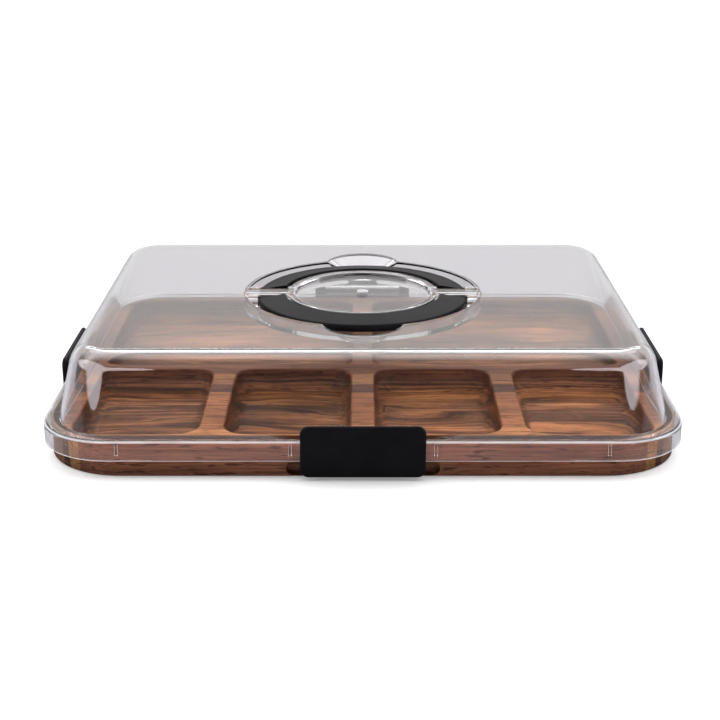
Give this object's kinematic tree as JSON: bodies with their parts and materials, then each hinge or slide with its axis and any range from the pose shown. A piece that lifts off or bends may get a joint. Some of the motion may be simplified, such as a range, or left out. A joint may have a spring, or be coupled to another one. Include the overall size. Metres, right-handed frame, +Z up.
{
  "type": "chip and dip server",
  "caption": "Rectangular wooden serving tray with routed compartments under a clear domed lid that latches on at every side and is carried by a ring handle in two folding halves.",
  "frame": {"origin": "middle of the tray's underside, on the surface it stands on", "axes": "+X to the right along the long side, +Y from the row of small compartments to the two large ones, +Z up"},
  "size_m": [0.4072, 0.3172, 0.0732],
  "materials": {
    "acacia": "oiled strips glued side by side",
    "clear_plastic": "clear, polished",
    "black_handle": "satin moulded",
    "black_latch": "fine matt moulded",
    "steel_pin": "drawn wire"
  },
  "bodies": {
    "tray": {"tray": "acacia"},
    "lid": {"lid": "clear_plastic", "front_left_handle_pin": "steel_pin", "front_right_handle_pin": "steel_pin", "rear_left_handle_pin": "steel_pin", "rear_right_handle_pin": "steel_pin", "front_latch_pin": "steel_pin", "rear_latch_pin": "steel_pin", "left_latch_pin": "steel_pin", "right_latch_pin": "steel_pin"},
    "front_handle": {"front_handle": "black_handle"},
    "rear_handle": {"rear_handle": "black_handle"},
    "front_latch": {"front_latch": "black_latch"},
    "rear_latch": {"rear_latch": "black_latch"},
    "left_latch": {"left_latch": "black_latch"},
    "right_latch": {"right_latch": "black_latch"}
  },
  "joints": [
    {"name": "lid_lift", "type": "slide", "parent": "tray", "child": "lid", "axis": [0, 0, 1], "range_m": [0, 0.12]},
    {"name": "front_handle_fold", "type": "hinge", "parent": "lid", "child": "front_handle", "pos_m": [0, -0.0105, 0.068], "axis": [-1, 0, 0], "range_deg": [0, 90]},
    {"name": "rear_handle_fold", "type": "hinge", "parent": "lid", "child": "rear_handle", "pos_m": [0, 0.0105, 0.068], "axis": [1, 0, 0], "range_deg": [0, 90]},
    {"name": "front_latch_swing", "type": "hinge", "parent": "lid", "child": "front_latch", "pos_m": [0, -0.151, 0.0285], "axis": [-1, 0, 0], "range_deg": [0, 95]},
    {"name": "rear_latch_swing", "type": "hinge", "parent": "lid", "child": "rear_latch", "pos_m": [0, 0.151, 0.0285], "axis": [1, 0, 0], "range_deg": [0, 95]},
    {"name": "left_latch_swing", "type": "hinge", "parent": "lid", "child": "left_latch", "pos_m": [-0.196, 0, 0.0285], "axis": [0, 1, 0], "range_deg": [0, 95]},
    {"name": "right_latch_swing", "type": "hinge", "parent": "lid", "child": "right_latch", "pos_m": [0.196, 0, 0.0285], "axis": [0, -1, 0], "range_deg": [0, 95]}
  ]
}
